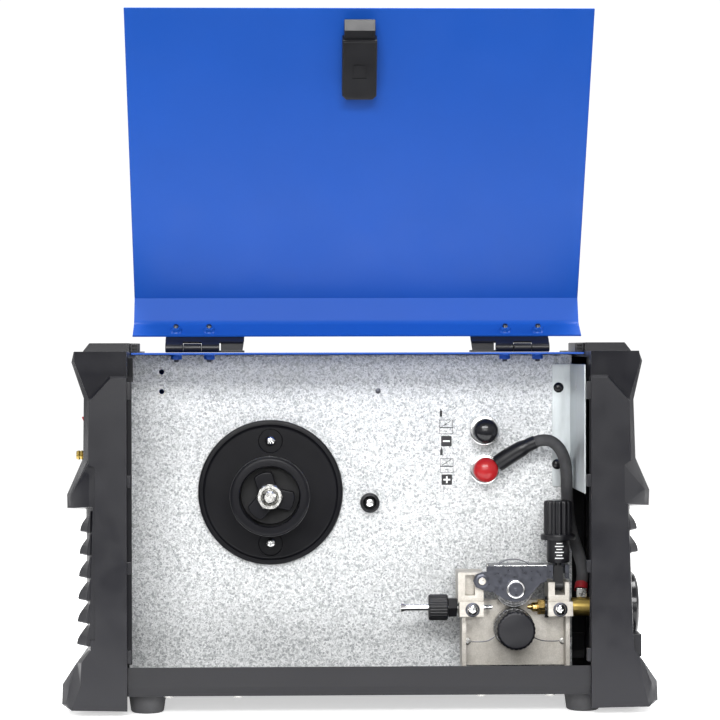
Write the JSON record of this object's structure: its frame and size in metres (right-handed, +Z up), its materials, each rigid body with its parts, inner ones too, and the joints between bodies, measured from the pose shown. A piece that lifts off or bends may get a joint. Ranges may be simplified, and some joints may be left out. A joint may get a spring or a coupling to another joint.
{
  "type": "mig welding machine",
  "caption": "Compact inverter MIG welder with its wire bay door swung up, showing the spool hub, wire feeder, polarity terminals and lead.",
  "frame": {"origin": "on the floor, under the middle of the object's bounding box with the door open", "axes": "+X towards the torch end, +Y away from the open wire bay, +Z up"},
  "size_m": [0.4316, 0.2376, 0.5043],
  "materials": {
    "blue_paint": "gloss powder coat",
    "dark_plastic": "fine grain",
    "dark_steel": "matt",
    "galvanised": "dull, speckled zinc",
    "black_gloss": "gloss",
    "red_plastic": "gloss",
    "rubber": "matt",
    "zinc": "bright plated",
    "cast_alloy": "as cast",
    "blued_steel": "blackened",
    "brass": "machined",
    "circuit_green": "solder mask",
    "aluminium": "satin",
    "black_plastic": "satin"
  },
  "bodies": {
    "chassis": {"front_panel": "dark_plastic", "rear_panel": "dark_plastic", "base_tray": "dark_steel", "divider_wall": "galvanised", "top_cover": "blue_paint", "hinge_rear_fixed": "black_plastic", "hinge_front_fixed": "black_plastic", "foot_1": "rubber", "foot_2": "rubber", "foot_3": "rubber", "foot_4": "rubber", "hub_base": "black_plastic", "hub_shaft": "zinc", "hub_wing": "black_plastic", "wall_post": "black_plastic", "feeder_plate": "cast_alloy", "inlet_tube": "zinc", "inlet_collar": "black_plastic", "outlet_guide": "brass", "feed_motor": "dark_steel", "terminal_negative": "zinc", "terminal_positive": "zinc", "polarity_lead": "black_plastic", "torch_block": "brass", "torch_socket": "brass", "torch_collar": "black_gloss", "earth_socket": "black_gloss", "control_plate": "aluminium", "gas_inlet": "brass", "mains_gland": "black_plastic", "switch_housing": "black_plastic", "fan_frame": "black_plastic", "heat_sink": "aluminium", "transformer": "dark_steel", "circuit_board": "circuit_green", "gas_valve": "brass"},
    "door": {"door_panel": "blue_paint", "hinge_rear_moving": "black_plastic", "hinge_front_moving": "black_plastic", "latch_housing": "black_plastic"},
    "door_latch": {"latch_bolt": "black_plastic"},
    "spool_barrel": {"hub_barrel": "black_plastic"},
    "spool_ring": {"hub_ring": "black_plastic"},
    "brake_nut": {"hub_nut": "zinc"},
    "drive": {"drive_roll": "zinc", "drive_knob": "black_plastic"},
    "arm": {"pressure_arm": "blued_steel", "roller_axle": "zinc"},
    "roller": {"pressure_roller": "zinc"},
    "lever": {"tension_lever": "black_plastic", "tension_sleeve": "black_plastic"},
    "lever_knob": {"tension_knob": "black_plastic"},
    "negative_knob": {"terminal_negative_knob": "black_gloss"},
    "positive_knob": {"terminal_positive_knob": "red_plastic"},
    "fan": {"fan_rotor": "black_plastic"},
    "rocker": {"switch_rocker": "red_plastic"},
    "speed_dial": {"wire_speed_knob": "black_plastic"},
    "voltage_dial": {"voltage_knob": "black_plastic"},
    "button": {"mode_button": "black_gloss"}
  },
  "joints": [
    {"name": "door_hinge", "type": "hinge", "parent": "chassis", "child": "door", "pos_m": [0, -0.04155, 0.2645], "axis": [1, 0, 0], "range_deg": [0, 152.2]},
    {"name": "latch_slide", "type": "slide", "parent": "door", "child": "door_latch", "axis": [0, 0.4664, -0.8846], "range_m": [0, 0.0112], "stiffness_N_per_m": 150, "springref_m": -0.003},
    {"name": "spool_spin", "type": "hinge", "parent": "chassis", "child": "spool_barrel", "pos_m": [-0.065, 0.00385, 0.1552], "axis": [0, 1, 0], "continuous": true},
    {"name": "spool_ring_turn", "type": "hinge", "parent": "spool_barrel", "child": "spool_ring", "pos_m": [-0.065, -0.03905, 0.1552], "axis": [0, 1, 0], "range_deg": [0, 60]},
    {"name": "brake_nut_turn", "type": "hinge", "parent": "chassis", "child": "brake_nut", "pos_m": [-0.065, -0.04825, 0.1552], "axis": [0, 1, 0], "range_deg": [-90, 90]},
    {"name": "drive_roll_spin", "type": "hinge", "parent": "chassis", "child": "drive", "pos_m": [0.1163, -0.02125, 0.0557], "axis": [0, 1, 0], "continuous": true},
    {"name": "pressure_arm_lift", "type": "hinge", "parent": "chassis", "child": "arm", "pos_m": [0.0915, -0.04275, 0.092], "axis": [0, -1, 0], "range_deg": [0, 1.2]},
    {"name": "pressure_roller_spin", "type": "hinge", "parent": "arm", "child": "roller", "pos_m": [0.1163, -0.02125, 0.086], "axis": [0, 1, 0], "continuous": true},
    {"name": "tension_lever_swing", "type": "hinge", "parent": "chassis", "child": "lever", "pos_m": [0.1497, -0.02625, 0.0869], "axis": [-1, 0, 0], "range_deg": [-90, 0]},
    {"name": "tension_knob_turn", "type": "hinge", "parent": "lever", "child": "lever_knob", "pos_m": [0.1497, -0.02625, 0.1212], "axis": [0, 0, 1], "range_deg": [-180, 180]},
    {"name": "negative_knob_turn", "type": "hinge", "parent": "chassis", "child": "negative_knob", "pos_m": [0.0972, -0.00055, 0.2016], "axis": [0, 1, 0], "range_deg": [0, 180]},
    {"name": "positive_knob_turn", "type": "hinge", "parent": "chassis", "child": "positive_knob", "pos_m": [0.0972, -0.00055, 0.1723], "axis": [0, 1, 0], "range_deg": [0, 180]},
    {"name": "fan_spin", "type": "hinge", "parent": "chassis", "child": "fan", "pos_m": [-0.1712, 0.06175, 0.078], "axis": [1, 0, 0], "continuous": true},
    {"name": "power_switch", "type": "hinge", "parent": "chassis", "child": "rocker", "pos_m": [-0.1965, -0.02325, 0.206], "axis": [0, 1, 0], "range_deg": [0, 14]},
    {"name": "wire_speed_turn", "type": "hinge", "parent": "chassis", "child": "speed_dial", "pos_m": [0.196, -0.02425, 0.206], "axis": [1, 0, 0], "range_deg": [-135, 135]},
    {"name": "voltage_turn", "type": "hinge", "parent": "chassis", "child": "voltage_dial", "pos_m": [0.196, 0.01975, 0.206], "axis": [1, 0, 0], "range_deg": [-135, 135]},
    {"name": "mode_button_press", "type": "slide", "parent": "chassis", "child": "button", "axis": [-1, 0, 0], "range_m": [0, 0.0006], "stiffness_N_per_m": 300, "springref_m": -0.0005}
  ],
  "couplings": [
    {"joint": "pressure_roller_spin", "follows": "drive_roll_spin", "ratio": -1.0135}
  ]
}
